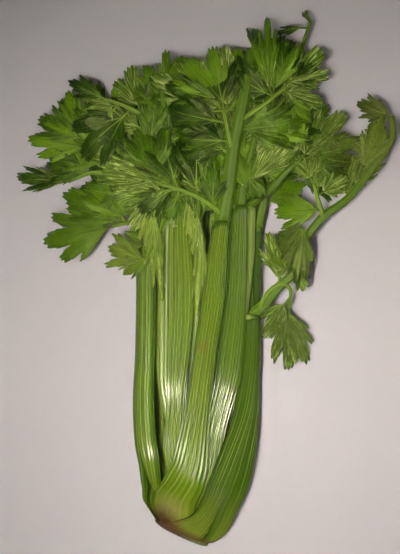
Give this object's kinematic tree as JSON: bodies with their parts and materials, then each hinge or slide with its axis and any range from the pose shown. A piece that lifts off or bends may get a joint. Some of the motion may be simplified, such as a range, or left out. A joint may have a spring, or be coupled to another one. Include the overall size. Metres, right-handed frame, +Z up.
{
  "type": "head of celery",
  "caption": "Whole head of celery lying on its side: a root plate, ribbed green stalks that wrap each other at the foot, a pale heart, and stems of lobed, toothed leaves.",
  "frame": {"origin": "centre of the footprint, on the surface that the head lies on", "axes": "+Y from the root plate towards the leaf tips, +X across the head, +Z up from the surface"},
  "size_m": [0.2902, 0.4104, 0.0925],
  "materials": {
    "root": "dry, matt, brown cut root",
    "stalk": "moist, glossy, finely ribbed green",
    "inner_stalk": "moist, glossy, pale yellow-green",
    "leaf": "soft sheen, dark green, veined",
    "heart": "moist, pale yellow-green"
  },
  "bodies": {
    "root": {"root_plate": "root", "stalk_front": "stalk", "stalk_front_right": "stalk", "stalk_front_left": "stalk", "stalk_left": "stalk", "stalk_right_upper": "stalk", "stalk_right": "stalk", "stalk_back_right": "stalk", "stalk_under_right": "stalk", "stalk_under": "stalk", "stalk_under_left": "stalk", "stalk_back_left": "stalk", "inner_right": "inner_stalk", "inner_under": "inner_stalk", "inner_left": "inner_stalk", "inner_front": "inner_stalk", "heart": "heart", "frond_front": "leaf", "frond_front_right": "leaf", "frond_inner_front": "leaf", "frond_inner_left": "leaf", "frond_left": "leaf", "frond_front_left": "leaf", "frond_right_upper": "leaf", "frond_inner_right": "leaf", "frond_right": "leaf", "frond_back_left": "leaf", "frond_back_right": "leaf", "frond_under_left": "leaf", "frond_under": "leaf", "frond_under_right": "leaf", "frond_inner_under": "leaf"}
  },
  "joints": []
}
